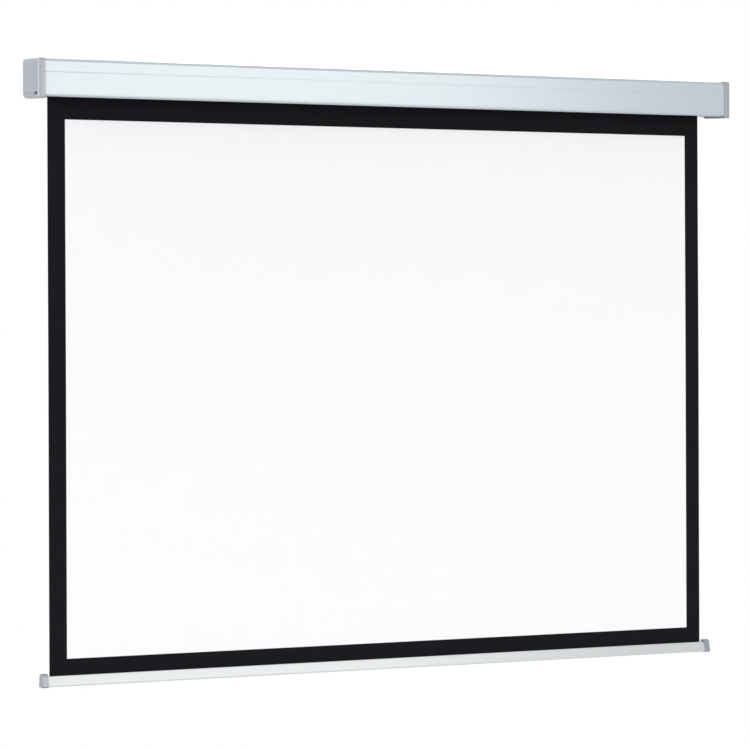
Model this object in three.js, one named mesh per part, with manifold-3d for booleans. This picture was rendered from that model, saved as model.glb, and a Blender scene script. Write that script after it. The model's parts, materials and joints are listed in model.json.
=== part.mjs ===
// Pull-down projector screen in millimetres: +Z up, the picture faces -Y, the wall is the plane Y = 0.
// The origin lies on the wall face, at half the case's length and half the height of its front.
import * as THREE from 'three';
import { mergeVertices } from 'three/addons/utils/BufferGeometryUtils.js';
import Module from 'manifold-3d';

// Clearances
const seatGap = 0.3;
const runningGap = 0.5;
const cutOverrun = 20;

// Picture area and fabric
const viewingWidth = 1600;
const viewingHeight = 1200;
const sideBorderWidth = 39.2;
const viewingOffset = 2.3;
const topBorderShown = 44.6;
const bottomBorderHeight = 36.5;
const backingThickness = 0.38;
const viewingLayerThickness = 0.2;

// Case, an aluminium extrusion that is open along its underside
const caseHeight = 83.3;
const caseDepth = 100;
const caseRearRise = 5;
const caseWall = 1.8;
const caseFrontRadius = 7;
const caseRearRadius = 2.2;
const grooveDrop = 28.6;
const grooveWidth = 4;
const grooveDepth = 0.4;
const frontLipDepth = 24;
const frontLipUpstand = 6;
const rearLipDepth = 7;
const rearLipUpstand = 4;
const screwPortInset = 16;
const screwPortRise = 7;
const screwPortRadius = 4;
const screwPortMouthAngle = Math.PI / 3;

// Moulded end caps of the case
const capWall = 6;
const capBossLength = 20.3;
const capRimLength = 17.4;
const capFrontProud = 1.8;
const capTopProud = 1.2;
const capBottomProud = 4.2;
const capEdgeRadius = 9.5;
const capRearBottomRadius = 12;
const capFluteWidth = 8;
const capFluteDepth = 1.8;
const capFrontFluteInset = 10;
const capRearFluteInset = 28;
const capFluteTopDrop = 8;
const capFluteBottomRise = 22;
const capPartingRise = 11.5;
const capPartingWidth = 1.6;
const capPartingDepth = 1;
const capScrewRecessLength = 18;
const capScrewRecessHeight = 7;
const capScrewRecessDepth = 3.5;
const capBossRadius = 4.6;

// Screws of the caps and brackets
const screwRadius = 1.5;
const screwHeadRadius = 3.2;
const screwHeadHeight = 1.8;
const screwLength = 14;
const screwRecessWidth = 0.9;
const screwRecessDepth = 1;
const screwRecessArmShare = 1.2;

// Steel hanger plates behind the keyholes in the case's back
const hangerInset = 87;
const hangerPlateWidth = 60;
const hangerPlateHeight = 52;
const hangerPlateThickness = 2;
const keyholeEntryRadius = 6;
const keyholeSlotWidth = 6.4;
const keyholeSlotRise = 14;
const hangerPlateTopDrop = 3.2;
const rivetSpacing = 44;
const rivetRadius = 1.6;
const rivetHeadRadius = 3.2;
const rivetHeadHeight = 1.3;
const rivetFlareRadius = 2.6;
const rivetFlareDepth = 1;

// Roller
const rollerTubeRadius = 22.5;
const rollerTubeWall = 1.2;
const rollerEndOverhang = 3;
const keywayWidth = 6;
const keywayDepth = 3;
const keyStripWidth = 5.2;
const windingPitch = 0.84;
const leaderTurns = 2.5;
const plugLength = 30;
const plugFlangeThickness = 4;
const spindleRadius = 4;
const idlePinReach = 26;

// Brackets that carry the two spindle ends
const bracketThickness = 2.5;
const bracketFrontClearance = 14;
const bracketPortClearance = 1.2;
const bracketPinClearance = 4.2;
const bracketCornerRadius = 5;
const bracketScrewSideInset = 8;
const bracketScrewTopInset = 11;
const bushRadius = 7;
const bushFlangeRadius = 10;
const bushFlangeThickness = 1.5;
const spadeThickness = 4.4;
const spadeReach = 12;

// Spring motor
const springRodLength = 420;
const rodGuideLength = 12;
const springCoilRadius = 11;
const springWireRadius = 1.1;
const springTurns = 26;

// Ratchet and pawl
const ratchetRadius = 11.4;
const ratchetRootRadius = 8;
const ratchetThickness = 5;
const ratchetNotches = 4;
const notchRootWidth = 4.8;
const notchRimWidth = 7.4;
const pawlPivotOffset = 13;
const pawlPivotDrop = 14;
const pawlHalfWidth = 1.9;
const pawlNoseReach = 2;
const pawlToothWidth = 3.2;
const pawlToothRise = 5.2;
const pawlRestSwing = THREE.MathUtils.degToRad(35);
const pawlPinRadius = 1.3;
const pawlPinHeadRadius = 2.6;
const pawlPinHeadThickness = 1.2;

// Weight bar along the lower edge
const barOverhang = 21.3;
const barHeight = 23.6;
const barTopFront = 9;
const barTopRear = 4.5;
const barBottomFront = 16;
const barBottomRear = 10;
const barWall = 1.3;
const barTopRadius = 1;
const barBottomRadius = 5;
const barSlotWidth = 2;
const hemRodRadius = 2.4;
const hemGap = 0.3;
const barCapLength = 14.6;
const barCapEndWall = 2.5;
const barCapSkin = 1.3;
const barCapRise = 6;
const barCapEdgeRadius = 2.2;

// Facets
const wideRoundSides = 40;
const smallRoundSides = 12;
const windingStepsPerTurn = 32;
const cornerSteps = 4;
const springStepsPerTurn = 8;
const springSides = 5;

// Places that follow from the sizes above
const fabricWidth = viewingWidth + 2 * sideBorderWidth;
const caseTop = caseHeight / 2;
const caseBottom = -caseHeight / 2;
const caseFront = -caseDepth;
const rollerY = -caseDepth / 2;
const tubeEnd = fabricWidth / 2 + rollerEndOverhang;
const flangeStart = tubeEnd + seatGap;
const flangeEnd = flangeStart + plugFlangeThickness;
const ratchetStart = flangeEnd + runningGap;
const ratchetEnd = ratchetStart + ratchetThickness;
const pawlPinHeadStart = ratchetEnd + runningGap;
const pawlPinEnd = pawlPinHeadStart + pawlPinHeadThickness;
const bracketStart = pawlPinEnd + bracketPinClearance;
const bracketEnd = bracketStart + bracketThickness;
const capInnerFace = bracketEnd + seatGap + capBossLength;
const caseEnd = capInnerFace + capWall;
const hangerX = caseEnd - hangerInset;
const hangerZ = caseTop + caseRearRise - hangerPlateTopDrop - hangerPlateHeight / 2;
const screwPortY = caseFront + screwPortInset;
const screwPortZ = caseBottom + riseAt(screwPortY) + screwPortRise;
const bracketWidth = caseDepth - 2 * bracketFrontClearance;
const bracketHeight = -2 * (screwPortZ + screwPortRadius + bracketPortClearance);
const bracketScrewOffset = bracketWidth / 2 - bracketScrewSideInset;
const bracketScrewZ = bracketHeight / 2 - bracketScrewTopInset;
const barEnd = fabricWidth / 2 + barOverhang;
const windingStartRadius = rollerTubeRadius + seatGap + backingThickness / 2;
const windingEndRadius = windingStartRadius + leaderTurns * windingPitch;
const fabricY = rollerY + windingEndRadius;
const viewingTop = caseBottom - topBorderShown;
const viewingBottom = viewingTop - viewingHeight;
const barTop = viewingBottom - bottomBorderHeight;

const wasm = await Module();
wasm.setup();

// How much higher the case's top and underside lie at a depth than at the front
function riseAt(y) {
  return (caseRearRise * (y - caseFront)) / caseDepth;
}

// A shape drawn level, with its top and underside made to rise towards the wall
function sloped(geometry) {
  const shear = new THREE.Matrix4().makeShear(0, 0, 0, caseRearRise / caseDepth, 0, 0);
  return geometry.applyMatrix4(shear).translate(0, 0, caseRearRise);
}

// Merged vertices, no empty faces, faces outwards: what a boolean or a saved solid needs
function sealed(geometry) {
  const bare = geometry.clone();
  bare.deleteAttribute('normal');
  bare.deleteAttribute('uv');
  const merged = mergeVertices(bare);
  const place = merged.getAttribute('position');
  const corners = Array.from(merged.index.array);
  const kept = [];
  const points = [new THREE.Vector3(), new THREE.Vector3(), new THREE.Vector3()];
  let volume = 0;
  for (let i = 0; i < corners.length; i += 3) {
    const face = corners.slice(i, i + 3);
    if (new Set(face).size < 3) continue;
    kept.push(face);
    face.forEach((corner, n) => points[n].fromBufferAttribute(place, corner));
    volume += points[0].dot(points[1].clone().cross(points[2]));
  }
  merged.setIndex(kept.flatMap((face) => (volume < 0 ? [face[0], face[2], face[1]] : face)));
  return merged;
}

function solidOf(geometry) {
  const closed = sealed(geometry);
  return new wasm.Manifold(new wasm.Mesh({
    numProp: 3,
    vertProperties: new Float32Array(closed.getAttribute('position').array),
    triVerts: new Uint32Array(closed.index.array),
  }));
}

function geometryOf(solid) {
  const mesh = solid.getMesh();
  const geometry = new THREE.BufferGeometry();
  geometry.setAttribute('position', new THREE.BufferAttribute(new Float32Array(mesh.vertProperties), 3));
  geometry.setIndex(new THREE.BufferAttribute(new Uint32Array(mesh.triVerts), 1));
  geometry.computeVertexNormals();
  return geometry;
}

function joined(geometries) {
  return geometryOf(geometries.map(solidOf).reduce((sum, next) => sum.add(next)));
}

function common(geometries) {
  return geometryOf(geometries.map(solidOf).reduce((shared, next) => shared.intersect(next)));
}

function cut(geometry, cutters) {
  const body = solidOf(geometry);
  return geometryOf(cutters.map(solidOf).reduce((rest, cutter) => rest.subtract(cutter), body));
}

// A closed outline whose corners [across, up, radius] are rounded by their third number
function roundedOutline(corners) {
  const outline = new THREE.Shape();
  corners.forEach(([across, up, radius], n) => {
    const corner = new THREE.Vector2(across, up);
    const [beforeX, beforeY] = corners[(n + corners.length - 1) % corners.length];
    const [afterX, afterY] = corners[(n + 1) % corners.length];
    const towardsBefore = new THREE.Vector2(beforeX, beforeY).sub(corner).setLength(radius).add(corner);
    const towardsAfter = new THREE.Vector2(afterX, afterY).sub(corner).setLength(radius).add(corner);
    if (n === 0) outline.moveTo(towardsBefore.x, towardsBefore.y);
    else outline.lineTo(towardsBefore.x, towardsBefore.y);
    if (radius > 0) outline.quadraticCurveTo(corner.x, corner.y, towardsAfter.x, towardsAfter.y);
  });
  outline.closePath();
  return outline;
}

function circle(radius, across = 0, up = 0) {
  return new THREE.Shape().absarc(across, up, radius, 0, 2 * Math.PI);
}

function rectangle(width, height, across = 0, up = 0, radius = 0) {
  return roundedOutline([
    [across - width / 2, up - height / 2, radius],
    [across + width / 2, up - height / 2, radius],
    [across + width / 2, up + height / 2, radius],
    [across - width / 2, up + height / 2, radius],
  ]);
}

// A section drawn in (Y, Z) and run along X between two places, with its end edges rounded
function alongX(section, from, to, edge = 0, steps = cornerSteps) {
  const start = Math.min(from, to);
  const geometry = new THREE.ExtrudeGeometry(section, {
    depth: Math.abs(to - from) - 2 * edge,
    curveSegments: steps,
    bevelEnabled: edge > 0,
    bevelThickness: edge,
    bevelSize: edge,
    bevelOffset: -edge,
    bevelSegments: cornerSteps,
  });
  const turn = new THREE.Matrix4().makeBasis(
    new THREE.Vector3(0, 1, 0), new THREE.Vector3(0, 0, 1), new THREE.Vector3(1, 0, 0));
  return geometry.applyMatrix4(turn).translate(start + edge, 0, 0);
}

// A section drawn in (X, Z) and run along Y between two places
function alongY(section, from, to, steps = cornerSteps) {
  const end = Math.max(from, to);
  const geometry = new THREE.ExtrudeGeometry(section, {
    depth: Math.abs(to - from), curveSegments: steps, bevelEnabled: false,
  });
  return geometry.rotateX(Math.PI / 2).translate(0, end, 0);
}

// A section drawn in (X, Y) and run along Z between two places
function alongZ(section, from, to, steps = cornerSteps) {
  const geometry = new THREE.ExtrudeGeometry(section, {
    depth: Math.abs(to - from), curveSegments: steps, bevelEnabled: false,
  });
  return geometry.translate(0, 0, Math.min(from, to));
}

// A profile of [radius, place along X] turned round the X axis
function turnedAboutX(profile, sides) {
  const points = profile.map(([radius, along]) => new THREE.Vector2(radius, along));
  return sealed(new THREE.LatheGeometry(points, sides).rotateZ(-Math.PI / 2));
}

function block([left, right], [front, back], [low, high]) {
  const box = new THREE.BoxGeometry(right - left, back - front, high - low);
  return box.translate((left + right) / 2, (front + back) / 2, (low + high) / 2);
}

function finish(color, roughness, metalness) {
  return new THREE.MeshStandardMaterial({ color, roughness, metalness });
}

function piece(name, geometry, material) {
  const mesh = new THREE.Mesh(sealed(geometry), material);
  mesh.geometry.computeVertexNormals();
  mesh.name = name;
  return mesh;
}

const whiteEnamel = finish('#e6ecf0', 0.42, 0.1);
const greyPlastic = finish('#b6bcc1', 0.55, 0);
const blackFabric = finish('#1e1c21', 0.9, 0);
const whiteFabric = finish('#f4f4f4', 0.85, 0);
const zincSteel = finish('#b9bcc0', 0.35, 0.9);
const springSteel = finish('#6d7076', 0.4, 0.9);
const tubeAluminium = finish('#c6c9cc', 0.4, 0.9);
const nylon = finish('#e9e6dc', 0.6, 0);
const darkPlastic = finish('#34363a', 0.6, 0);
const blackSteel = finish('#2c2d30', 0.5, 0.8);

// The four outer corners of the case's section, grown all round by a clearance
function caseCorners(grow, rearGrow) {
  return [
    [rearGrow, caseBottom - grow, caseRearRadius],
    [rearGrow, caseTop + grow, caseRearRadius],
    [caseFront - grow, caseTop + grow, caseFrontRadius],
    [caseFront - grow, caseBottom - grow, caseFrontRadius],
  ];
}

// A C-shaped port that takes a self-tapping screw along the case
function screwPort() {
  const port = new THREE.Shape();
  const mouthStart = Math.PI / 2 + screwPortMouthAngle / 2;
  const mouthEnd = Math.PI / 2 - screwPortMouthAngle / 2 + 2 * Math.PI;
  port.absarc(screwPortY, screwPortZ, screwPortRadius, mouthStart, mouthEnd, false);
  port.absarc(screwPortY, screwPortZ, screwRadius + seatGap, mouthEnd, mouthStart, true);
  port.closePath();
  return port;
}

function keyhole() {
  const entry = circle(keyholeEntryRadius, 0, hangerZ - keyholeSlotRise / 2);
  const slot = rectangle(keyholeSlotWidth, keyholeSlotRise, 0, hangerZ);
  const slotEnd = circle(keyholeSlotWidth / 2, 0, hangerZ + keyholeSlotRise / 2);
  const shapes = [entry, slot, slotEnd];
  return joined(shapes.map((shape) => alongY(shape, -cutOverrun, cutOverrun, smallRoundSides / 2)));
}

// A blind rivet from the wall face forwards, grown by a clearance where it is used as a cutter
function rivet(grow, back) {
  const plateFront = -caseWall - 2 * seatGap - hangerPlateThickness;
  const profile = [
    [0, back],
    [rivetFlareRadius + grow, back],
    [rivetFlareRadius + grow, -grow],
    [rivetRadius + grow, -rivetFlareDepth - grow],
    [rivetRadius + grow, plateFront - seatGap],
    [rivetHeadRadius + grow, plateFront - seatGap],
    [rivetHeadRadius + grow, plateFront - seatGap - rivetHeadHeight / 2],
    [rivetHeadRadius / 2, plateFront - seatGap - rivetHeadHeight],
    [0, plateFront - seatGap - rivetHeadHeight],
  ];
  return turnedAboutX(profile, smallRoundSides).rotateZ(Math.PI / 2);
}

function rivetPlaces() {
  return [-1, 1].flatMap((side) => [-1, 1].map((end) => [
    side * hangerX + end * rivetSpacing / 2, 0, hangerZ]));
}

function caseHousing() {
  const frontLipEnd = caseFront + frontLipDepth;
  const grooveZ = caseTop - grooveDrop;
  const innerFrontRadius = caseFrontRadius - caseWall;
  const section = roundedOutline([
    [-rearLipDepth, caseBottom, 0],
    [0, caseBottom, caseRearRadius],
    [0, caseTop, caseRearRadius],
    [caseFront, caseTop, caseFrontRadius],
    [caseFront, grooveZ + grooveWidth / 2, 0],
    [caseFront + grooveDepth, grooveZ, 0],
    [caseFront, grooveZ - grooveWidth / 2, 0],
    [caseFront, caseBottom, caseFrontRadius],
    [frontLipEnd, caseBottom, 0],
    [frontLipEnd, caseBottom + frontLipUpstand, 0],
    [frontLipEnd - caseWall, caseBottom + frontLipUpstand, 0],
    [frontLipEnd - caseWall, caseBottom + caseWall, 0],
    [caseFront + caseWall, caseBottom + caseWall, innerFrontRadius],
    [caseFront + caseWall, caseTop - caseWall, innerFrontRadius],
    [-caseWall, caseTop - caseWall, 0],
    [-caseWall, caseBottom + caseWall, 0],
    [-rearLipDepth + caseWall, caseBottom + caseWall, 0],
    [-rearLipDepth + caseWall, caseBottom + rearLipUpstand, 0],
    [-rearLipDepth, caseBottom + rearLipUpstand, 0],
  ]);
  const end = capInnerFace - seatGap;
  const portStem = block(
    [-end, end],
    [screwPortY - screwPortRadius / 2, screwPortY + screwPortRadius / 2],
    [caseBottom + riseAt(screwPortY) + caseWall / 2, screwPortZ - screwRadius - 2 * seatGap]);
  const shell = joined([
    sloped(alongX(section, -end, end)),
    alongX(screwPort(), -end, end, 0, smallRoundSides / 2),
    portStem,
  ]);
  const keyholes = [-1, 1].map((side) => keyhole().translate(side * hangerX, 0, 0));
  const rivetHoles = rivetPlaces().map((place) => rivet(seatGap / 2, seatGap).translate(...place));
  return piece('case_housing', cut(shell, [...keyholes, ...rivetHoles]), whiteEnamel);
}

function bracketScrewPlaces() {
  return [-1, 1].map((end) => [rollerY + end * bracketScrewOffset, bracketScrewZ]);
}

// An outline from the rim's inner end to the case's end, with its two outer corners rounded
function roundedEnd(side, start, end, low, high) {
  return roundedOutline([
    [side * start, low, 0],
    [side * end, low, capEdgeRadius],
    [side * end, high, capEdgeRadius],
    [side * start, high, 0],
  ]);
}

// A shallow V across the cap's outer face, seen from above, about a place along Y
function flute(side, middle) {
  return roundedOutline([
    [side * (caseEnd - capFluteDepth), middle, 0],
    [side * (caseEnd + capFluteDepth), middle - capFluteWidth, 0],
    [side * (caseEnd + capFluteDepth), middle + capFluteWidth, 0],
  ]);
}

function endCap(name, side) {
  const bottom = caseBottom - capBottomProud;
  const top = caseTop + capTopProud;
  const front = caseFront - capFrontProud;
  const outer = roundedOutline([
    [0, bottom, capRearBottomRadius],
    [0, top, caseRearRadius],
    [front, top, caseFrontRadius],
    [front, bottom, caseFrontRadius],
  ]);
  const rimStart = caseEnd - capRimLength;
  const body = alongX(outer, side * rimStart, side * caseEnd);
  const seenFromFront = roundedEnd(side, rimStart, caseEnd, bottom, top);
  const seenFromAbove = roundedEnd(side, rimStart, caseEnd, front, cutOverrun);
  const pocket = alongX(
    roundedOutline(caseCorners(seatGap, cutOverrun)), side * (rimStart - cutOverrun), side * capInnerFace);
  const bosses = bracketScrewPlaces().map(([y, z]) => alongX(
    circle(capBossRadius, y, z), side * (bracketEnd + seatGap), side * (capInnerFace + capWall / 2),
    0, smallRoundSides / 2));
  const flutes = [capFrontFluteInset, capRearFluteInset].map((inset) => alongZ(
    flute(side, front + inset), bottom + capFluteBottomRise, top - capFluteTopDrop));
  const seam = [side * (caseEnd - capPartingDepth), side * (caseEnd + cutOverrun)];
  const partingLine = block(
    seam.sort((a, b) => a - b), [front - cutOverrun, cutOverrun],
    [bottom + capPartingRise, bottom + capPartingRise + capPartingWidth]);
  const recessOutline = rectangle(
    capScrewRecessLength, capScrewRecessHeight, screwPortY, screwPortZ, capScrewRecessHeight / 2);
  const screwRecess = alongX(
    recessOutline, side * (caseEnd - capScrewRecessDepth), side * (caseEnd + cutOverrun));
  const screwHole = alongX(
    circle(screwRadius + seatGap, screwPortY, screwPortZ),
    side * (capInnerFace - cutOverrun), side * (caseEnd + cutOverrun), 0, smallRoundSides / 2);
  const bossHoles = bracketScrewPlaces().map(([y, z]) => alongX(
    circle(screwRadius + seatGap / 2, y, z), side * (bracketEnd - cutOverrun),
    side * (bracketStart + screwLength + seatGap), 0, smallRoundSides / 2));
  const softened = common([
    body,
    alongY(seenFromFront, front - cutOverrun, cutOverrun),
    alongZ(seenFromAbove, bottom - cutOverrun, top + cutOverrun),
  ]);
  const rim = sloped(cut(softened, [pocket, ...flutes, partingLine]));
  const whole = joined([rim, ...bosses]);
  return piece(name, cut(whole, [screwRecess, screwHole, ...bossHoles]), greyPlastic);
}

// A pan-head screw whose head looks along +X from the plane X = 0, with a cross recess
function screw(length) {
  const body = turnedAboutX([
    [0, -length],
    [screwRadius, -length + screwRadius],
    [screwRadius, 0],
    [screwHeadRadius, 0],
    [screwHeadRadius, screwHeadHeight / 2],
    [screwHeadRadius / 2, screwHeadHeight],
    [0, screwHeadHeight],
  ], smallRoundSides);
  const arm = screwHeadRadius * screwRecessArmShare;
  const recess = [[arm, screwRecessWidth], [screwRecessWidth, arm]].map(([across, up]) => block(
    [screwHeadHeight - screwRecessDepth, screwHeadHeight + cutOverrun],
    [-across / 2, across / 2], [-up / 2, up / 2]));
  return cut(body, recess);
}

function sideName(side) {
  return side < 0 ? 'left' : 'right';
}

function capScrews() {
  return [-1, 1].map((side) => {
    const next = screw(screwLength);
    if (side < 0) next.rotateZ(Math.PI);
    next.translate(side * (caseEnd - capScrewRecessDepth + seatGap), screwPortY, screwPortZ);
    return piece(`end_cap_screw_${sideName(side)}`, next, blackSteel);
  });
}

function bracketScrews() {
  return [-1, 1].flatMap((side) => bracketScrewPlaces().map(([y, z], n) => {
    const next = screw(screwLength);
    if (side > 0) next.rotateZ(Math.PI);
    next.translate(side * (bracketStart - seatGap), y, z);
    return piece(`bracket_screw_${sideName(side)}_${n + 1}`, next, zincSteel);
  }));
}

function hangerPlate(name, side) {
  const back = -caseWall - seatGap;
  const outline = rectangle(hangerPlateWidth, hangerPlateHeight, 0, hangerZ, bracketCornerRadius);
  const plate = alongY(outline, back - hangerPlateThickness, back);
  const cutters = [-1, 1].map((end) => rivet(seatGap / 2, seatGap)
    .translate(end * rivetSpacing / 2, 0, hangerZ));
  const mesh = piece(name, cut(plate, [keyhole(), ...cutters]), zincSteel);
  mesh.position.x = side * hangerX;
  return mesh;
}

function hangerRivets() {
  return rivetPlaces().map((place, n) => piece(
    `hanger_rivet_${sideName(place[0])}_${(n % 2) + 1}`, rivet(0, 0).translate(...place), zincSteel));
}

function bracket(name, side, opening) {
  const outline = rectangle(bracketWidth, bracketHeight, rollerY, 0, bracketCornerRadius);
  outline.holes.push(opening);
  bracketScrewPlaces().forEach(([y, z]) => outline.holes.push(circle(screwRadius + seatGap, y, z)));
  const plate = alongX(outline, side * bracketStart, side * bracketEnd, 0, smallRoundSides / 2);
  return piece(name, plate, zincSteel);
}

function idleBush() {
  const bore = spindleRadius + seatGap;
  const inner = -bracketStart + seatGap;
  const outer = -bracketEnd - bushFlangeThickness;
  const bush = turnedAboutX([
    [bore, inner + bushFlangeThickness],
    [bushFlangeRadius, inner + bushFlangeThickness],
    [bushFlangeRadius, inner],
    [bushRadius, inner],
    [bushRadius, outer],
    [bore, outer],
    [bore, inner + bushFlangeThickness],
  ], smallRoundSides);
  return piece('idle_bush', bush.translate(0, rollerY, 0), nylon);
}

// The fixed rod: round inside the roller, with a flat spade that the bracket keeps from turning
function springRod() {
  const shoulder = bracketStart - seatGap;
  const round = turnedAboutX([
    [0, shoulder - springRodLength],
    [spindleRadius, shoulder - springRodLength],
    [spindleRadius, shoulder],
    [0, shoulder],
  ], smallRoundSides);
  const spadeDepth = spadeThickness / 2;
  const spadeHeight = Math.sqrt(spindleRadius ** 2 - spadeDepth ** 2) - seatGap;
  const spade = block(
    [shoulder - spindleRadius, shoulder + spadeReach],
    [-spadeDepth, spadeDepth],
    [-spadeHeight, spadeHeight]);
  return piece('spring_rod', joined([round, spade]).translate(0, rollerY, 0), zincSteel);
}

function rodGuide() {
  const start = bracketStart - springRodLength;
  const bore = spindleRadius + seatGap;
  const end = start + rodGuideLength;
  const rim = rollerTubeRadius - rollerTubeWall - keywayDepth - 2 * runningGap;
  const guide = turnedAboutX([
    [bore, start], [rim, start], [rim, end], [bore, end], [bore, start],
  ], wideRoundSides / 2);
  return piece('rod_end_guide', guide.translate(0, rollerY, 0), nylon);
}

// An open helix of round wire between the rod's end guide and the turning plug, closed at both ends
function torsionSpring() {
  const start = bracketStart - springRodLength + rodGuideLength + seatGap + springWireRadius;
  const end = tubeEnd - plugLength - seatGap - springWireRadius;
  const steps = springTurns * springStepsPerTurn;
  const pitch = (end - start) / springTurns;
  const lean = Math.atan2(pitch, 2 * Math.PI * springCoilRadius);
  const rings = [];
  for (let step = 0; step <= steps; step += 1) {
    const turn = (2 * Math.PI * step) / springStepsPerTurn;
    const outward = new THREE.Vector3(0, Math.cos(turn), Math.sin(turn));
    const around = new THREE.Vector3(0, -Math.sin(turn), Math.cos(turn));
    const sideways = new THREE.Vector3(Math.cos(lean), 0, 0).addScaledVector(around, -Math.sin(lean));
    const middle = outward.clone().multiplyScalar(springCoilRadius);
    middle.x = start + (pitch * step) / springStepsPerTurn;
    for (let n = 0; n < springSides; n += 1) {
      const angle = (2 * Math.PI * n) / springSides;
      rings.push(middle.clone()
        .addScaledVector(outward, springWireRadius * Math.cos(angle))
        .addScaledVector(sideways, springWireRadius * Math.sin(angle)));
    }
  }
  const faces = [];
  for (let step = 0; step < steps; step += 1) {
    for (let n = 0; n < springSides; n += 1) {
      const here = step * springSides;
      const next = (n + 1) % springSides;
      const [a, b, c, d] = [here + n, here + next, here + springSides + next, here + springSides + n];
      faces.push(a, b, c, a, c, d);
    }
  }
  for (let n = 1; n < springSides - 1; n += 1) {
    const last = steps * springSides;
    faces.push(0, n + 1, n, last, last + n, last + n + 1);
  }
  const geometry = new THREE.BufferGeometry().setFromPoints(rings);
  geometry.setIndex(faces);
  return piece('torsion_spring', geometry.translate(0, rollerY, 0), springSteel);
}

function ratchetWheel() {
  const notch = roundedOutline([
    [-notchRootWidth / 2, -ratchetRootRadius, 0],
    [notchRootWidth / 2, -ratchetRootRadius, 0],
    [notchRimWidth / 2, -ratchetRadius, 0],
    [notchRimWidth / 2, -ratchetRadius - cutOverrun, 0],
    [-notchRimWidth / 2, -ratchetRadius - cutOverrun, 0],
    [-notchRimWidth / 2, -ratchetRadius, 0],
  ]);
  const disc = circle(ratchetRadius);
  disc.holes.push(circle(spindleRadius + seatGap));
  const wheel = alongX(disc, ratchetStart, ratchetEnd, 0, wideRoundSides / 2);
  const notches = Array.from({ length: ratchetNotches }, (_, n) => alongX(
    notch, ratchetStart - cutOverrun, ratchetEnd + cutOverrun)
    .rotateX((2 * Math.PI * n) / ratchetNotches));
  return piece('ratchet_wheel', cut(wheel, notches).translate(0, rollerY, 0), zincSteel);
}

const keywayFloor = rollerTubeRadius - keywayDepth;
const keywayAngle = 2 * Math.PI * leaderTurns;

// Section of the tube about its own axis, with a keyway pressed inwards
function rollerTube() {
  const outer = alongX(circle(rollerTubeRadius), -tubeEnd, tubeEnd, 0, wideRoundSides / 2);
  const bore = alongX(
    circle(rollerTubeRadius - rollerTubeWall), -tubeEnd - cutOverrun, tubeEnd + cutOverrun,
    0, wideRoundSides / 2);
  const half = keywayWidth / 2;
  const bed = (halfWidth, low, length) => block(
    [-length, length], [low, rollerTubeRadius + cutOverrun], [-halfWidth, halfWidth]);
  const trough = common([
    outer, bed(half + rollerTubeWall, keywayFloor - rollerTubeWall, tubeEnd).rotateX(keywayAngle)]);
  const keyway = bed(half, keywayFloor, tubeEnd + cutOverrun).rotateX(keywayAngle);
  const tube = cut(joined([cut(outer, [bore]), trough]), [keyway]);
  return piece('roller_tube', tube, tubeAluminium);
}

// The plastic strip that wedges the fabric's upper edge into the keyway
function keyStrip() {
  const strip = block(
    [-tubeEnd + plugLength, tubeEnd - plugLength],
    [keywayFloor + seatGap, rollerTubeRadius - seatGap], [-keyStripWidth / 2, keyStripWidth / 2]);
  return piece('fabric_key_strip', strip.rotateX(keywayAngle), darkPlastic);
}

function plug(name, side, bore, extraHoles) {
  const coreRadius = rollerTubeRadius - rollerTubeWall - seatGap;
  const inner = side * (tubeEnd - plugLength);
  const body = turnedAboutX([
    [bore, inner],
    [coreRadius, inner],
    [coreRadius, side * flangeStart],
    [rollerTubeRadius, side * flangeStart],
    [rollerTubeRadius, side * flangeEnd],
    [bore, side * flangeEnd],
    [bore, inner],
  ], wideRoundSides);
  const half = keywayWidth / 2 + rollerTubeWall + seatGap;
  const relief = block(
    [-flangeStart, flangeStart],
    [keywayFloor - rollerTubeWall - seatGap, rollerTubeRadius + cutOverrun],
    [-half, half]);
  return piece(name, cut(body, [relief.rotateX(keywayAngle), ...extraHoles]), nylon);
}

function idlePin() {
  const start = -tubeEnd + plugLength;
  const end = -tubeEnd - idlePinReach;
  const pin = turnedAboutX([
    [0, start], [spindleRadius, start], [spindleRadius, end], [0, end],
  ], smallRoundSides);
  return piece('idle_pin', pin, zincSteel);
}

function pawlPinHole() {
  return alongX(
    circle(pawlPinRadius + seatGap / 2, -pawlPivotOffset, -pawlPivotDrop),
    flangeStart, flangeEnd + cutOverrun, 0, smallRoundSides / 2);
}

function pawlPin() {
  const pin = turnedAboutX([
    [0, flangeStart + seatGap],
    [pawlPinRadius, flangeStart + seatGap],
    [pawlPinRadius, pawlPinHeadStart],
    [pawlPinHeadRadius, pawlPinHeadStart],
    [pawlPinHeadRadius, pawlPinEnd],
    [0, pawlPinEnd],
  ], smallRoundSides);
  return piece('pawl_pin', pin.translate(0, -pawlPivotOffset, -pawlPivotDrop), zincSteel);
}

// The pawl about its own pivot, drawn engaged and then let down to the angle at which it hangs
function pawl() {
  const toothLeft = pawlPivotOffset - pawlToothWidth / 2;
  const toothRight = pawlPivotOffset + pawlToothWidth / 2;
  const noseEnd = pawlPivotOffset + pawlNoseReach;
  const outline = roundedOutline([
    [-pawlHalfWidth, -pawlHalfWidth, pawlHalfWidth / 2],
    [noseEnd, -pawlHalfWidth, pawlHalfWidth / 2],
    [noseEnd, pawlHalfWidth, 0],
    [toothRight, pawlHalfWidth, 0],
    [toothRight, pawlToothRise, 0],
    [toothLeft, pawlToothRise, 0],
    [toothLeft, pawlHalfWidth, 0],
    [-pawlHalfWidth, pawlHalfWidth, pawlHalfWidth / 2],
  ]);
  const eye = circle(pawlPinHeadRadius);
  const bar = joined([outline, eye].map((shape) => alongX(
    shape, ratchetStart, ratchetEnd, 0, smallRoundSides / 2)));
  const pinHole = alongX(
    circle(pawlPinRadius + seatGap), ratchetStart - cutOverrun, ratchetEnd + cutOverrun,
    0, smallRoundSides / 2);
  const mesh = piece('pawl', cut(bar, [pinHole]).rotateX(-pawlRestSwing), zincSteel);
  mesh.position.set(0, -pawlPivotOffset, -pawlPivotDrop);
  return mesh;
}

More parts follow.
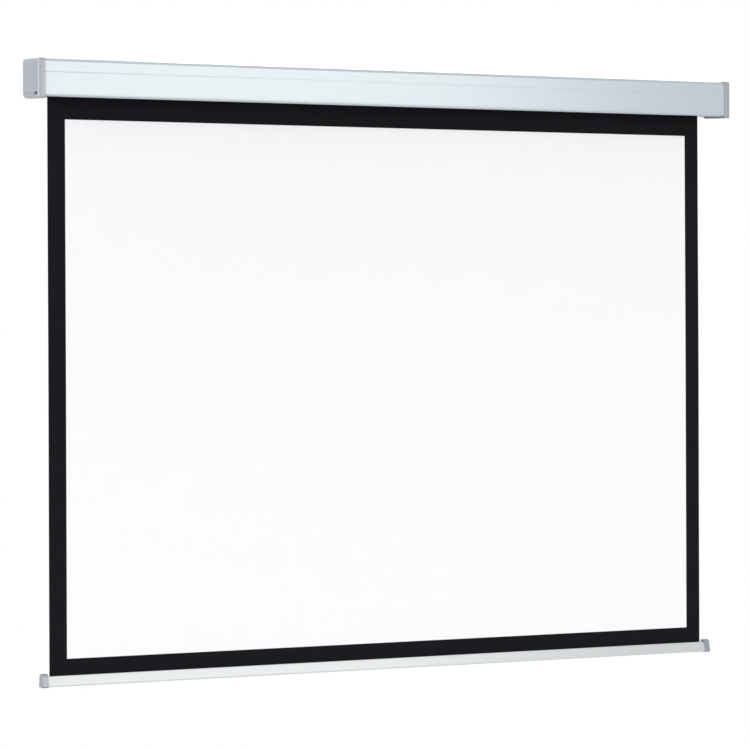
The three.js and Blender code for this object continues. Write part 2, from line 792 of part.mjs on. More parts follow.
// The leader turns of fabric, from the point where the sheet leaves the roll inwards to the tube
function fabricWinding() {
  const steps = Math.round(leaderTurns * windingStepsPerTurn);
  const half = backingThickness / 2;
  const spiral = (offset, step) => {
    const turn = (2 * Math.PI * step) / windingStepsPerTurn;
    const radius = windingEndRadius - (windingPitch * step) / windingStepsPerTurn + offset;
    return new THREE.Vector2(radius * Math.cos(turn), radius * Math.sin(turn));
  };
  const outside = Array.from({ length: steps + 1 }, (_, step) => spiral(half, step));
  const inside = Array.from({ length: steps + 1 }, (_, step) => spiral(-half, steps - step));
  const section = new THREE.Shape([...outside, ...inside]);
  return piece('fabric_winding', alongX(section, -fabricWidth / 2, fabricWidth / 2), blackFabric);
}

function sheet(name, middle, width, front, back, low, high, material) {
  return piece(name, block([middle - width / 2, middle + width / 2], [front, back], [low, high]), material);
}

// The bar's four corners about the fabric's plane; its front leans out more than its rear
function barOutline(grow, topRise = 0) {
  return [
    [barTopRear + grow, grow + topRise, barTopRadius + topRise],
    [barBottomRear + grow, -barHeight - grow, barBottomRadius],
    [-barBottomFront - grow, -barHeight - grow, barBottomRadius],
    [-barTopFront - grow, grow + topRise, barTopRadius + topRise],
  ];
}

function bottomBar() {
  const end = barEnd - barCapEndWall - seatGap;
  const shell = alongX(roundedOutline(barOutline(0)), -end, end);
  const cavity = alongX(roundedOutline(barOutline(-barWall)), -end - cutOverrun, end + cutOverrun);
  const slot = block(
    [-end - cutOverrun, end + cutOverrun],
    [-barSlotWidth / 2, barSlotWidth / 2],
    [-2 * barWall, cutOverrun]);
  return piece('bottom_bar', cut(shell, [cavity, slot]), whiteEnamel);
}

function barCap(name, side) {
  const outer = roundedOutline(barOutline(barCapSkin, barCapRise - barCapSkin));
  const start = barEnd - barCapLength;
  const body = alongX(outer, side * (start - barCapEdgeRadius), side * barEnd, barCapEdgeRadius);
  const inner = [side * (start - cutOverrun), side * start].sort((a, b) => a - b);
  const innerEdge = block(inner, [-2 * barBottomFront, 2 * barBottomFront], [-2 * barHeight, barHeight]);
  const pocket = alongX(
    roundedOutline(barOutline(seatGap)), side * (start - cutOverrun), side * (barEnd - barCapEndWall));
  return piece(name, cut(body, [innerEdge, pocket]), greyPlastic);
}

const hemLoopInner = hemRodRadius + hemGap;
const hemLoopOuter = hemLoopInner + backingThickness;
const hemRodZ = -barWall - hemGap - hemLoopOuter;

function hemRod() {
  const end = barEnd - barCapLength;
  const rod = turnedAboutX([
    [0, -end], [hemRodRadius, -end], [hemRodRadius, end], [0, end],
  ], smallRoundSides);
  return piece('hem_rod', rod.translate(0, 0, hemRodZ), zincSteel);
}

// The fabric's lower border band, whose end is welded into a pocket round the hem rod
function fabricHem() {
  const half = backingThickness / 2;
  const end = fabricWidth / 2;
  const pocketTop = hemRodZ + hemRodRadius + backingThickness;
  const band = block([-end, end], [-half, half], [pocketTop, bottomBorderHeight - seatGap]);
  const ring = circle(hemLoopOuter, 0, hemRodZ);
  ring.holes.push(circle(hemLoopInner, 0, hemRodZ));
  return piece('fabric_hem', joined([band, alongX(ring, -end, end, 0, smallRoundSides / 2)]), blackFabric);
}

function group(y, z, meshes) {
  const together = new THREE.Group();
  together.position.set(0, y, z);
  together.add(...meshes);
  return together;
}

const spadeSlot = rectangle(spadeThickness + 2 * seatGap, 2 * spindleRadius + seatGap, rollerY, 0);
const bushHole = circle(bushRadius + seatGap, rollerY, 0);
const backingFront = fabricY - backingThickness / 2;

const screenCase = group(0, 0, [
  caseHousing(),
  endCap('end_cap_left', -1),
  endCap('end_cap_right', 1),
  ...capScrews(),
  hangerPlate('hanger_plate_left', -1),
  hangerPlate('hanger_plate_right', 1),
  ...hangerRivets(),
  bracket('idle_end_bracket', -1, bushHole),
  bracket('spring_end_bracket', 1, spadeSlot),
  ...bracketScrews(),
  idleBush(),
  springRod(),
  rodGuide(),
  torsionSpring(),
  ratchetWheel(),
]);

const roller = group(rollerY, 0, [
  rollerTube(),
  keyStrip(),
  plug('spring_end_plug', 1, spindleRadius + seatGap, [pawlPinHole()]),
  plug('idle_end_plug', -1, spindleRadius + seatGap, []),
  idlePin(),
  pawlPin(),
  pawl(),
  fabricWinding(),
]);

const hangingFabric = group(0, 0, [
  sheet('black_backing_sheet', 0, fabricWidth, backingFront, backingFront + backingThickness,
    viewingBottom, -seatGap, blackFabric),
  sheet('white_viewing_sheet', viewingOffset, viewingWidth,
    backingFront - viewingLayerThickness, backingFront, viewingBottom, viewingTop, whiteFabric),
]);

const weightBar = group(fabricY, barTop, [
  bottomBar(),
  barCap('bar_cap_left', -1),
  barCap('bar_cap_right', 1),
  hemRod(),
  fabricHem(),
]);

const projectorScreen = new THREE.Group();
projectorScreen.name = 'projector_screen';
projectorScreen.add(screenCase, roller, hangingFabric, weightBar);

export default projectorScreen;
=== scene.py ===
import json
import math

import bmesh
import bpy
from mathutils import Matrix, Vector

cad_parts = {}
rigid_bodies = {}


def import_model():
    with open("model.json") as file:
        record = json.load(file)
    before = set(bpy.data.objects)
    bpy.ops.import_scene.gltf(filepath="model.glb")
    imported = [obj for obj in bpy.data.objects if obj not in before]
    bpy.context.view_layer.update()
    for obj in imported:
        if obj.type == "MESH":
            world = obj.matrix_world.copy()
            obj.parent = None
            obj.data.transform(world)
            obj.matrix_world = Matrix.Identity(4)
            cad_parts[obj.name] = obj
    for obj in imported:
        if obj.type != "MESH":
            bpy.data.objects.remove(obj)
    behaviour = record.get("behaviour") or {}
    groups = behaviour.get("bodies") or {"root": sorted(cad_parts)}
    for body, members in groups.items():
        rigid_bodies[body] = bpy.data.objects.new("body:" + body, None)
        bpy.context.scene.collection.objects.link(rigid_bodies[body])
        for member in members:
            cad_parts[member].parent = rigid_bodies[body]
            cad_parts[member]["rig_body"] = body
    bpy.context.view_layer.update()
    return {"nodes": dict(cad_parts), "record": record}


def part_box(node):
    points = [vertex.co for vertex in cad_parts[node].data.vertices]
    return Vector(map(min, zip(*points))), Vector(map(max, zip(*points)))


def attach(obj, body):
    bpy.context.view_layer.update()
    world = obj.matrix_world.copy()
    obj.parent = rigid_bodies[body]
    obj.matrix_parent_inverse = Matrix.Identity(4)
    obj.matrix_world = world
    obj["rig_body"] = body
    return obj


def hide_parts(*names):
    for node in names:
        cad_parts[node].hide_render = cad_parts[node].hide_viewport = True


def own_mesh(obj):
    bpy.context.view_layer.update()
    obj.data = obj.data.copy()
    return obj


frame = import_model()

# Pull-down projector screen. Metres, +Z up, the picture faces -Y and the wall is the plane Y = 0.
MM = 0.001
FABRIC_THICKNESS = 0.38 * MM
LAMINATE_THICKNESS = 0.56 * MM


# Materials

# Nearly all the values of a noise texture lie between these two
NOISE_LOW = 0.3
NOISE_HIGH = 0.7
# Levels of detail in a noise texture: few give a soft pattern
HARD_DRIFT_DETAIL = 4
CLOTH_DRIFT_DETAIL = 5
GRAIN_DETAIL = 2
# The patches in which a cloth's shade drifts, in mm, and the grain of its coating, in threads
CLOTH_PATCH = 70
PEBBLE_THREADS = 2
# Radians that a wave texture of scale 1 turns through in a metre
WAVE_TEXTURE_RATE = 20


def colour(code):
    """An sRGB hex colour as linear RGBA, by the curve of the sRGB standard."""
    channels = [int(code[n:n + 2], 16) / 255 for n in (1, 3, 5)]
    return [c / 12.92 if c <= 0.04045 else ((c + 0.055) / 1.055) ** 2.4 for c in channels] + [1]


def add(tree, kind, settings, links=None):
    """One shader node. A key is a socket's name or number, or else one of the node's properties."""
    made = tree.nodes.new("ShaderNode" + kind)
    for key, value in settings.items():
        if isinstance(key, int) or key in made.inputs:
            made.inputs[key].default_value = value
        else:
            setattr(made, key, value)
    for key, source in (links or {}).items():
        tree.links.new(source, made.inputs[key])
    return made


def blank(name):
    """A material that has no nodes yet."""
    made = bpy.data.materials.new(name)
    made.use_nodes = True
    made.node_tree.nodes.clear()
    return made


def per_metre(size):
    """The scale at which a noise texture's grain has this size in millimetres."""
    return 1 / (size * MM)


def close_surface(tree, shades, drift, roughness, gloss_pattern, relief, height, shader):
    """The end that all finishes share.

    The colour drifts between two shades, the roughness varies in its range with its own pattern, and
    height stands out by relief, in mm.
    """
    dark, light = shades
    smooth, rough = roughness
    tone = add(tree, "Mix", {"data_type": "RGBA", 6: colour(dark), 7: colour(light)}, {0: drift})
    gloss = add(tree, "MapRange", {1: NOISE_LOW, 2: NOISE_HIGH, 3: smooth, 4: rough}, {0: gloss_pattern})
    bump = add(tree, "Bump", {"Strength": 1, "Distance": relief * MM}, {"Height": height})
    surface = add(tree, "BsdfPrincipled", shader, {
        "Base Color": tone.outputs[2], "Roughness": gloss.outputs[0], "Normal": bump.outputs[0]})
    add(tree, "OutputMaterial", {}, {"Surface": surface.outputs[0]})


def hard_finish(name, shades, roughness, patch, grain, relief, shader, stretch=(1, 1, 1)):
    """A hard surface: two shades that drift in patches, roughness that follows them, and a fine relief.

    patch and grain are sizes in mm, relief is the grain's depth in mm, and stretch divides both sizes
    along X, Y and Z, for marks that run one way.
    """
    made = blank(name)
    tree = made.node_tree
    place = add(tree, "TexCoord", {})
    turned = add(tree, "Mapping", {"Scale": stretch}, {"Vector": place.outputs["Object"]}).outputs[0]
    drift = add(tree, "TexNoise", {
        "Scale": per_metre(patch), "Detail": HARD_DRIFT_DETAIL}, {"Vector": turned}).outputs[0]
    fine = add(tree, "TexNoise", {
        "Scale": per_metre(grain), "Detail": GRAIN_DETAIL}, {"Vector": turned}).outputs[0]
    close_surface(tree, shades, drift, roughness, drift, relief, fine, shader)
    return made


def cloth_finish(name, shades, roughness, thread, relief, shader):
    """Coated woven cloth. The weave follows the cloth's own UV map, which is laid out in metres.

    thread is the distance between threads and relief the depth of the weave, both in mm.
    """
    made = blank(name)
    tree = made.node_tree
    laid = add(tree, "UVMap", {"uv_map": "cloth"}).outputs[0]
    waves = math.tau / (WAVE_TEXTURE_RATE * thread * MM)
    warp = add(tree, "TexWave", {"bands_direction": "X", "Scale": waves}, {"Vector": laid})
    weft = add(tree, "TexWave", {"bands_direction": "Y", "Scale": waves}, {"Vector": laid})
    weave = add(tree, "Math", {"operation": "MULTIPLY"}, {0: warp.outputs[1], 1: weft.outputs[1]})
    drift = add(tree, "TexNoise", {
        "Scale": per_metre(CLOTH_PATCH), "Detail": CLOTH_DRIFT_DETAIL}, {"Vector": laid}).outputs[0]
    pebble = add(tree, "TexNoise", {
        "Scale": per_metre(PEBBLE_THREADS * thread), "Detail": GRAIN_DETAIL}, {"Vector": laid}).outputs[0]
    height = add(tree, "Math", {"operation": "ADD"}, {0: weave.outputs[0], 1: pebble})
    close_surface(tree, shades, drift, roughness, pebble, relief, height.outputs[0], shader)
    return made


METAL = {"Metallic": 1}
ABS_SHINE = {"IOR": 1.53, "Specular IOR Level": 1}
COAT_SHINE = {"IOR": 1.5, "Specular IOR Level": 0.7, "Coat Weight": 1, "Coat Roughness": 0.24}
# All of this range stays below 0.274: the denoiser draws a faint contour where a shiny coat crosses that
COAT_ROUGHNESS = (0.252, 0.27)

# The finishes, with sizes in mm. The real grain of plastic, plating and most such cloth is finer, and
# it is drawn this coarse so that it shows close up.

# Polyester powder coat baked on extruded aluminium: satin white with a cool cast and a faint orange peel
POWDER_COAT = hard_finish(
    "white_powder_coat", shades=("#adbbc2", "#b0bec5"), roughness=COAT_ROUGHNESS,
    patch=260, grain=1.6, relief=0.012, shader=COAT_SHINE)
# A warmer, more neutral and lighter copy of the case's coat on the bar: painted light, standing in for
# the extra light and reflection that the bar's face catches
PAINTED_LIGHT_BAR_COAT = hard_finish(
    "neutral_white_coat_painted_lighter", shades=("#bec3c5", "#c1c6c8"), roughness=COAT_ROUGHNESS,
    patch=260, grain=1.6, relief=0.012, shader=COAT_SHINE)
# ABS moulded in a spark-eroded tool: light grey, matt and finely pitted, so edges stay soft
MOULDED_ABS = hard_finish(
    "grey_moulded_abs", shades=("#8f979e", "#949ca3"), roughness=(0.37, 0.44),
    patch=90, grain=0.8, relief=0.03, shader=ABS_SHINE)
# The same plastic on the bar's caps, a shade darker than the case's caps and a little smoother
CAP_ABS = hard_finish(
    "darker_grey_moulded_abs", shades=("#7d858f", "#828a94"), roughness=(0.3, 0.36),
    patch=90, grain=0.8, relief=0.02, shader=ABS_SHINE)
# Glass-fibre cloth coated with black PVC and calendered matt: nearly no gloss, a weave close up
BLACK_CLOTH = cloth_finish(
    "black_pvc_cloth", shades=("#110f14", "#131217"), roughness=(0.7, 0.85),
    thread=1.2, relief=0.03, shader={"IOR": 1.5, "Specular IOR Level": 0.09})
# Matt white PVC viewing surface: an even diffuser with a faint pebble emboss
WHITE_CLOTH = cloth_finish(
    "matt_white_viewing_surface", shades=("#f9f9f9", "#fafafa"), roughness=(0.86, 0.94),
    thread=1.2, relief=0.012, shader={"IOR": 1.5, "Specular IOR Level": 0.2})
# Zinc-plated steel: bright grey with soft cloudy patches from the plating bath
ZINC_STEEL = hard_finish(
    "zinc_plated_steel", shades=("#b4b9be", "#c9cdd0"), roughness=(0.28, 0.42),
    patch=5, grain=0.5, relief=0.006, shader=METAL)
# Drawn and oiled spring steel: dark, with small cloudy patches of oil
SPRING_STEEL = hard_finish(
    "oiled_spring_steel", shades=("#5d6066", "#74777c"), roughness=(0.3, 0.45),
    patch=6, grain=0.5, relief=0.006, shader=METAL)
# Steel screws with a black oxide finish: nearly black, with a dull metal gleam
BLACK_STEEL = hard_finish(
    "black_oxide_steel", shades=("#28292c", "#333539"), roughness=(0.38, 0.5),
    patch=4, grain=0.5, relief=0.006, shader=METAL)
# Mill-finish aluminium tube: pale metal with long faint extrusion streaks along the tube
TUBE_ALUMINIUM = hard_finish(
    "mill_finish_aluminium", shades=("#c3c6c9", "#d3d5d7"), roughness=(0.3, 0.42),
    patch=2.5, grain=0.6, relief=0.006, shader=METAL, stretch=(0.01, 1, 1))
# Natural injection-moulded nylon: waxy ivory, slightly mottled
NYLON = hard_finish(
    "natural_nylon", shades=("#e2ded0", "#ebe7dc"), roughness=(0.42, 0.5),
    patch=12, grain=1, relief=0.015,
    shader={"IOR": 1.53, "Subsurface Weight": 0.1, "Subsurface Scale": 0.002})
# Extruded dark PVC strip: semi-matt with fine lines along its length
DARK_STRIP = hard_finish(
    "dark_extruded_pvc", shades=("#303236", "#3a3c40"), roughness=(0.45, 0.55),
    patch=4, grain=0.6, relief=0.01, shader={"IOR": 1.52}, stretch=(0.02, 1, 1))

SLOT_FINISHES = {
    "white_enamel": POWDER_COAT,
    "grey_plastic": MOULDED_ABS,
    "black_fabric": BLACK_CLOTH,
    "white_fabric": WHITE_CLOTH,
    "zinc_steel": ZINC_STEEL,
    "spring_steel": SPRING_STEEL,
    "black_steel": BLACK_STEEL,
    "tube_aluminium": TUBE_ALUMINIUM,
    "nylon": NYLON,
    "dark_plastic": DARK_STRIP,
}
NODE_SLOTS = {part["node"]: part["material_slot"] for part in frame["record"]["subparts"]}
# Nodes whose finish differs from the usual one of their slot
OWN_FINISHES = {"bottom_bar": PAINTED_LIGHT_BAR_COAT, "bar_cap_left": CAP_ABS, "bar_cap_right": CAP_ABS}


# Camera, at the photograph's place

PICTURE_SIZE = 750
FOCAL_LENGTH_PX = 3139
HORIZON_PX = 331.6
CAMERA_PLACE = (-3.166, -6.631, -0.561)
CAMERA_YAW = math.radians(25.35)
CAMERA_ROLL = math.radians(0.227)

lens = bpy.data.cameras.new("camera")
lens.sensor_fit = "HORIZONTAL"
lens.lens = FOCAL_LENGTH_PX / PICTURE_SIZE * lens.sensor_width
lens.shift_y = (HORIZON_PX - PICTURE_SIZE / 2) / PICTURE_SIZE
camera = bpy.data.objects.new("camera", lens)
camera.location = CAMERA_PLACE
camera.rotation_euler = (math.pi / 2, CAMERA_ROLL, -CAMERA_YAW)
bpy.context.scene.collection.objects.link(camera)
bpy.context.scene.camera = camera


# Making pieces

# Angles in degrees between two faces, up to which their edge shades smooth
HARD_CREASE = 35
CLOTH_CREASE = 60
# Points of a CAD mesh that are closer than this are one point
MERGE_DISTANCE = 0.002 * MM
# Faces within the first angle are one flat face, and edges over the second angle are rounded
FLAT_ANGLE = math.radians(0.4)
SHARP_ANGLE = math.radians(40)
# Faces across a rounded edge, and its profile, where a half is an arc
ROUND_FACES = 2
ROUND_PROFILE = 0.5
# How much more a large face counts than a small one in a shared normal: 50 is even
LARGE_FACE_WEIGHT = 80


def as_piece(bm, name, body, finishes, crease=HARD_CREASE):
    """The bmesh as an object that rides on its body, smooth over edges flatter than crease degrees."""
    for edge in bm.edges:
        edge.smooth = len(edge.link_faces) == 2 and edge.calc_face_angle(0) < math.radians(crease)
    for face in bm.faces:
        face.smooth = True
    mesh = bpy.data.meshes.new(name)
    bm.to_mesh(mesh)
    bm.free()
    for finish in finishes:
        mesh.materials.append(finish)
    piece = bpy.data.objects.new(name, mesh)
    bpy.context.scene.collection.objects.link(piece)
    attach(piece, body)
    return piece


def broken_edges(node, radius, shortest):
    """A copy of a CAD node. Its triangles are merged, and its sharp edges are rounded if long enough."""
    source = frame["nodes"][node]
    slot = NODE_SLOTS[node]
    finish = OWN_FINISHES.get(node, SLOT_FINISHES[slot])
    bm = bmesh.new()
    bm.from_mesh(source.data)
    bmesh.ops.remove_doubles(bm, verts=bm.verts, dist=MERGE_DISTANCE)
    bmesh.ops.dissolve_limit(
        bm, angle_limit=FLAT_ANGLE, verts=bm.verts, edges=bm.edges, use_dissolve_boundaries=False)
    sharp = [edge for edge in bm.edges if len(edge.link_faces) == 2
             and edge.calc_face_angle(0) > SHARP_ANGLE and edge.calc_length() > shortest * MM]
    bmesh.ops.bevel(
        bm, geom=sharp, offset=radius * MM, offset_type="OFFSET", segments=ROUND_FACES,
        profile=ROUND_PROFILE, affect="EDGES", material=-1, clamp_overlap=False)
    piece = as_piece(bm, node + "_finished", source["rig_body"], [finish])
    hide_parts(node)
    # Flat faces shade flat beside their small rounds
    weighted = piece.modifiers.new("weighted_normals", "WEIGHTED_NORMAL")
    weighted.keep_sharp = True
    weighted.weight = LARGE_FACE_WEIGHT


def lay_uv(bm, place):
    """A UV map in metres, from a function of each corner's vertex."""
    layer = bm.loops.layers.uv.new("cloth")
    for face in bm.faces:
        for loop in face.loops:
            loop[layer].uv = place(loop.vert)


# The hanging screen

SHEET_LOW, SHEET_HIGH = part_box("black_backing_sheet")
SHEET_BACK = SHEET_HIGH.y
SHEET_FRONT = SHEET_BACK - LAMINATE_THICKNESS
WHITE_LOW, WHITE_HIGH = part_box("white_viewing_sheet")
SHEET_COLUMNS = 84
SHEET_ROWS = 64
# Half the side of a grid whose side is 1, as bmesh wants it
UNIT_GRID = 0.5
# The sheet is cut along the edges of the white area, unless a point already lies this close to a cut
CUT_TOLERANCE = 0.01 * MM
# A face whose normal has a Y below this looks at the viewer
FACES_VIEWER = -0.5
# The side edges' curl at mid height, and how sharply it sets in towards them
EDGE_CURL = 0.8 * MM
CURL_POWER = 9
# The slack's depth, its half waves from the middle to a side, and how far they sway, in radians
SLACK = 0.28 * MM
SLACK_HALF_WAVES = 3.5
SLACK_SWAY = 0.8
# How sharply the cloth flattens towards the roller and the bar, which hold it straight
HOLD_POWER = 4


def hang(x, z):
    """How far the cloth stands towards the viewer: held flat at both ends, its sides curling between."""
    drop = (SHEET_HIGH.z - z) / (SHEET_HIGH.z - SHEET_LOW.z)
    held = math.sin(math.pi * drop) ** HOLD_POWER
    across = x / SHEET_HIGH.x
    curl = EDGE_CURL * abs(across) ** CURL_POWER
    sway = SLACK_SWAY * math.sin(math.tau * drop)
    slack = SLACK * (1 + math.cos(SLACK_HALF_WAVES * math.pi * across + sway)) / 2
    return held * (curl + slack)


def screen_sheet():
    """The cloth from the roller to the white area's lower edge, black round a white front."""
    width = SHEET_HIGH.x - SHEET_LOW.x
    drop = SHEET_HIGH.z - SHEET_LOW.z
    bm = bmesh.new()
    bmesh.ops.create_grid(bm, x_segments=SHEET_COLUMNS, y_segments=SHEET_ROWS, size=UNIT_GRID)
    bmesh.ops.scale(bm, vec=(width, drop, 1), verts=bm.verts)
    bmesh.ops.rotate(bm, cent=(0, 0, 0), matrix=Matrix.Rotation(math.pi / 2, 3, "X"), verts=bm.verts)
    bmesh.ops.translate(bm, vec=(0, SHEET_FRONT, SHEET_LOW.z + drop / 2), verts=bm.verts)
    for point, normal in ((WHITE_LOW, (1, 0, 0)), (WHITE_HIGH, (1, 0, 0)), (WHITE_HIGH, (0, 0, 1))):
        everything = bm.verts[:] + bm.edges[:] + bm.faces[:]
        bmesh.ops.bisect_plane(bm, geom=everything, dist=CUT_TOLERANCE, plane_co=point, plane_no=normal)
    for vert in bm.verts:
        vert.co.y -= hang(vert.co.x, vert.co.z)
    bmesh.ops.solidify(bm, geom=bm.faces[:], thickness=LAMINATE_THICKNESS)
    lay_uv(bm, lambda vert: (vert.co.x, vert.co.z))
    for face in bm.faces:
        middle = face.calc_center_median()
        inside = WHITE_LOW.x < middle.x < WHITE_HIGH.x and middle.z < WHITE_HIGH.z
        face.material_index = 1 if inside and face.normal.y < FACES_VIEWER else 0
    piece = as_piece(bm, "screen_sheet", "case", [BLACK_CLOTH, WHITE_CLOTH])
    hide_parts("black_backing_sheet", "white_viewing_sheet")
    # The squash lifts the sheet's lower edge by the bar's whole travel
    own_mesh(piece)


# Cuts across a swept cloth's width
SWEPT_CUTS = 11


def swept_cloth(name, body, path):
    """Cloth as wide as the screen, whose outer face follows a path of (y, z) points, and its length."""
    half = SHEET_HIGH.x
    bm = bmesh.new()
    along = bm.verts.layers.float.new("along")
    ends = [bm.verts.new((side * half, *path[0])) for side in (-1, 1)]
    row = [bm.edges.new(ends)]
    run = 0
    for before, after in zip(path, path[1:]):
        step = Vector((0, after[0] - before[0], after[1] - before[1]))
        run += step.length
        grown = bmesh.ops.extrude_edge_only(bm, edges=row)["geom"]
        fresh = [part for part in grown if isinstance(part, bmesh.types.BMVert)]
        row = [part for part in grown if isinstance(part, bmesh.types.BMEdge)]
        bmesh.ops.translate(bm, vec=step, verts=fresh)
        for vert in fresh:
            vert[along] = run
    across = [edge for edge in bm.edges if abs(edge.verts[0].co.x - edge.verts[1].co.x) > half]
    bmesh.ops.subdivide_edges(bm, edges=across, cuts=SWEPT_CUTS, use_grid_fill=True)
    bmesh.ops.recalc_face_normals(bm, faces=bm.faces)
    bmesh.ops.solidify(bm, geom=bm.faces[:], thickness=FABRIC_THICKNESS)
    lay_uv(bm, lambda vert: (vert.co.x, vert[along]))
    piece = as_piece(bm, name, body, [BLACK_CLOTH], crease=CLOTH_CREASE)
    return piece, run


ROD_LOW, ROD_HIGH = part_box("hem_rod")
ROD_CLEARANCE = 0.3 * MM
# Room between the hanging sheet's lower edge and the band that goes on below it
SEAM_GAP = 0.02 * MM
# The straight part ends this far above the pocket round the rod
POCKET_LEAD = 1.5 * MM
STRAIGHT_ROWS = 6
POCKET_ROWS = 24
# Where the pocket starts and how far it goes round the rod, in degrees from the wall's side upwards
POCKET_START = 100
POCKET_SWEEP = 340


def hem_band():
    """The lower black band. Its end goes round the hem rod in the bar and is welded back to itself."""
    rod = (ROD_LOW + ROD_HIGH) / 2
    radius = (ROD_HIGH.z - ROD_LOW.z) / 2 + ROD_CLEARANCE + FABRIC_THICKNESS
    seam = SHEET_LOW.z - SEAM_GAP
    face = rod.y - FABRIC_THICKNESS / 2
    straight = seam - rod.z - radius - POCKET_LEAD
    path = [(face, seam - n * straight / STRAIGHT_ROWS) for n in range(STRAIGHT_ROWS + 1)]
    for n in range(POCKET_ROWS + 1):
        turn = math.radians(POCKET_START + n * POCKET_SWEEP / POCKET_ROWS)
        path.append((rod.y + radius * math.cos(turn), rod.z + radius * math.sin(turn)))
    piece, length = swept_cloth("hem_band", "bar", path)
    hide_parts("fabric_hem")


LEADER_TURNS = 2.5
# Rows of faces in one turn
LEADER_STEPS = 48
WINDING_PITCH = 0.84 * MM
# How far the cloth sinks as it settles on the roller. It has settled after 1 / SETTLE_RATE turns
SETTLE = 0.22 * MM
SETTLE_RATE = 2.5


def leader_winding():
    """The turns of cloth that stay on the roller, from where the sheet leaves it inwards to the tube."""
    low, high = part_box("roller_tube")
    axis = (low + high) / 2
    outer = SHEET_BACK - axis.y
    path = []
    for n in range(int(LEADER_TURNS * LEADER_STEPS) + 1):
        turns = n / LEADER_STEPS
        radius = outer - WINDING_PITCH * turns - SETTLE * min(1, SETTLE_RATE * turns)
        angle = math.tau * turns
        path.append((axis.y + radius * math.cos(angle), axis.z + radius * math.sin(angle)))
    piece, length = swept_cloth("leader_winding", "roller", path)
    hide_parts("fabric_winding")


screen_sheet()
hem_band()
leader_winding()


# Rigid pieces

# Each node's edge radius and the shortest edge that gets it, in millimetres
BROKEN_EDGES = {
    "case_housing": (0.35, 8),
    "end_cap_left": (0.5, 0),
    "end_cap_right": (0.5, 0),
    "bottom_bar": (0.3, 0),
    "bar_cap_left": (0.45, 0),
    "bar_cap_right": (0.45, 0),
    "hanger_plate_left": (0.25, 0),
    "hanger_plate_right": (0.25, 0),
    "idle_end_bracket": (0.25, 0),
    "spring_end_bracket": (0.25, 0),
}
for node, (radius, shortest) in BROKEN_EDGES.items():
    broken_edges(node, radius, shortest)

# The nodes that no piece replaces keep their CAD shape and get their finish
for node, slot in NODE_SLOTS.items():
    source = frame["nodes"][node]
    if not source.hide_render:
        source.data.materials.clear()
        source.data.materials.append(SLOT_FINISHES[slot])


# Floor, world and lamps

WHITE = (1, 1, 1, 1)
FLOOR_Z = -2.2
FLOOR_HALF = 3.4
FLOOR_SHADE = "#f2f2f2"
# What the floor adds to its own brightness where the camera sees it
FLOOR_GLOW = 0.35
AMBIENT_TINT = (0.97, 0.985, 1, 1)
AMBIENT_STRENGTH = 0.36


def studio_floor():
    """A pale floor that can be looked through from below."""
    finish = blank("pale_studio_floor")
    tree = finish.node_tree
    paper = add(tree, "BsdfDiffuse", {"Color": colour(FLOOR_SHADE)})
    glow = add(tree, "Emission", {"Color": WHITE, "Strength": FLOOR_GLOW})
    ray = add(tree, "LightPath", {})
    off = add(tree, "Emission", {"Strength": 0})
    seen = add(tree, "MixShader", {}, {
        0: ray.outputs["Is Camera Ray"], 1: off.outputs[0], 2: glow.outputs[0]})
    both = add(tree, "AddShader", {}, {0: paper.outputs[0], 1: seen.outputs[0]})
    side = add(tree, "NewGeometry", {})
    clear = add(tree, "BsdfTransparent", {})
    topside = add(tree, "MixShader", {}, {
        0: side.outputs["Backfacing"], 1: both.outputs[0], 2: clear.outputs[0]})
    add(tree, "OutputMaterial", {}, {"Surface": topside.outputs[0]})
    bm = bmesh.new()
    bmesh.ops.create_grid(bm, x_segments=1, y_segments=1, size=FLOOR_HALF)
    bmesh.ops.translate(bm, vec=(0, 0, FLOOR_Z), verts=bm.verts)
    mesh = bpy.data.meshes.new("studio_floor")
    bm.to_mesh(mesh)
    bm.free()
    mesh.materials.append(finish)
    floor = bpy.data.objects.new("studio_floor", mesh)
    bpy.context.scene.collection.objects.link(floor)


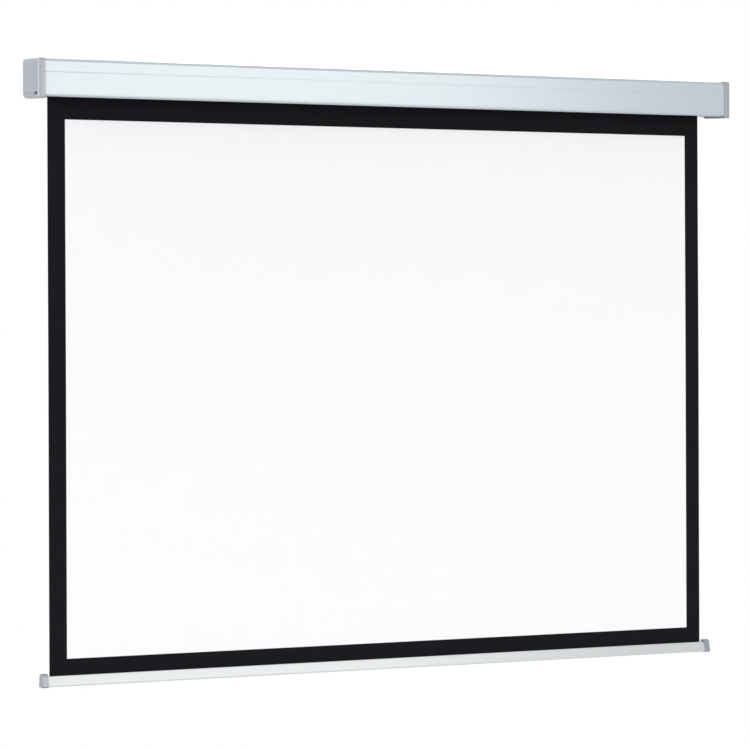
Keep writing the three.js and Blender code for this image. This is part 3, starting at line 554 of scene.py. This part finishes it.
def studio_world():
    """White where it is seen or mirrored, and a dimmer cool white where it lights."""
    world = bpy.data.worlds.new("studio_world")
    world.use_nodes = True
    tree = world.node_tree
    tree.nodes.clear()
    ray = add(tree, "LightPath", {})
    mirrored = add(tree, "Math", {"operation": "MAXIMUM"}, {
        0: ray.outputs["Is Glossy Ray"], 1: ray.outputs["Is Transmission Ray"]})
    shown = add(tree, "Math", {"operation": "MAXIMUM"}, {
        0: ray.outputs["Is Camera Ray"], 1: mirrored.outputs[0]})
    white = add(tree, "Background", {"Color": WHITE, "Strength": 1})
    ambient = add(tree, "Background", {"Color": AMBIENT_TINT, "Strength": AMBIENT_STRENGTH})
    mixed = add(tree, "MixShader", {}, {0: shown.outputs[0], 1: ambient.outputs[0], 2: white.outputs[0]})
    add(tree, "OutputWorld", {}, {"Surface": mixed.outputs[0]})
    bpy.context.scene.world = world


def softbox(name, place, aim, size, radiance, tint):
    """A rectangular lamp that no camera sees. Its power follows from its radiance and area."""
    lamp = bpy.data.lights.new(name, "AREA")
    lamp.shape = "RECTANGLE"
    lamp.size, lamp.size_y = size
    lamp.energy = radiance * math.pi * size[0] * size[1]
    lamp.color = tint
    box = bpy.data.objects.new(name, lamp)
    box.location = place
    box.rotation_euler = (Vector(aim) - Vector(place)).to_track_quat("-Z", "Y").to_euler()
    box.visible_camera = False
    bpy.context.scene.collection.objects.link(box)


# Each lamp's place, the point at which it aims, its width and height, its radiance and its tint
SOFTBOXES = {
    "upper_front_softbox": ((1.4, -5.2, 0.55), (0.3, 0, 0), (3.3, 1.6), 4.7, (1, 0.985, 0.968)),
    "lower_front_softbox": ((1.5, -5.2, -1.85), (0.3, 0, -1.3), (3.3, 1.4), 4.34, (1, 0.985, 0.965)),
    "high_front_softbox": ((1.2, -3.6, 2.6), (0.4, 0, 0), (1.6, 1), 1.7, (1, 1, 1)),
    "left_softbox": ((-5, -1.1, 0.1), (-0.6, 0, -0.5), (3.6, 3.2), 4, (1, 1, 1)),
    "overhead_softbox": ((-1.6, 0.5, 2.9), (0, 0.1, 0), (2.4, 2), 2.6, (1, 1, 1)),
    "rear_softbox": ((2.5, 4.5, 1), (0, 0, -0.5), (2.4, 2.4), 5, (1, 1, 1)),
}

studio_floor()
studio_world()
for name, settings in SOFTBOXES.items():
    softbox(name, *settings)

bpy.context.scene.view_settings.view_transform = "Standard"
